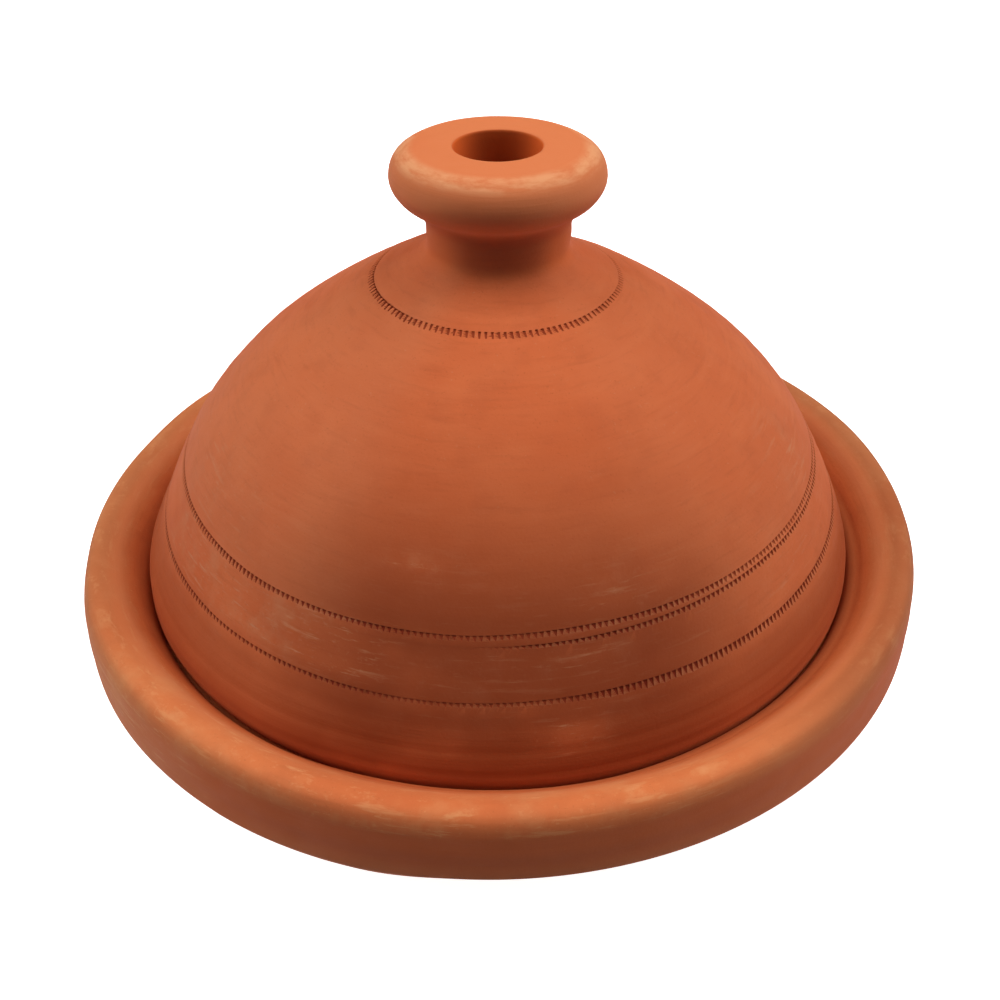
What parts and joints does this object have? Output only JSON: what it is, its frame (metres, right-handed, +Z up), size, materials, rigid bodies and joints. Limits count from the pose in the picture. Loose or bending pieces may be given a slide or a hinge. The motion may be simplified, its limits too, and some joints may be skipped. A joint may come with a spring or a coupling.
{
  "type": "tagine",
  "caption": "Unglazed earthenware tagine: shallow round dish with a heavy rounded rim and a loose domed lid that lifts off by its hollow mushroom knob.",
  "frame": {"origin": "centre of the flat base that the dish stands on", "axes": "+Z up along the axis both pieces are turned about; -Y towards the front of the picture; +X to its right"},
  "size_m": [0.32, 0.32, 0.1966],
  "materials": {
    "dish_clay": "unglazed fired red clay, matt, with pale lime bloom on the rim",
    "lid_clay": "unglazed fired red clay, burnished with a wet rib, with rolled toothed bands"
  },
  "bodies": {
    "dish": {"base_dish": "dish_clay"},
    "lid": {"domed_lid": "lid_clay"}
  },
  "joints": [
    {"name": "lid_lift", "type": "slide", "parent": "dish", "child": "lid", "axis": [0, 0, 1], "range_m": [0, 0.2]}
  ]
}
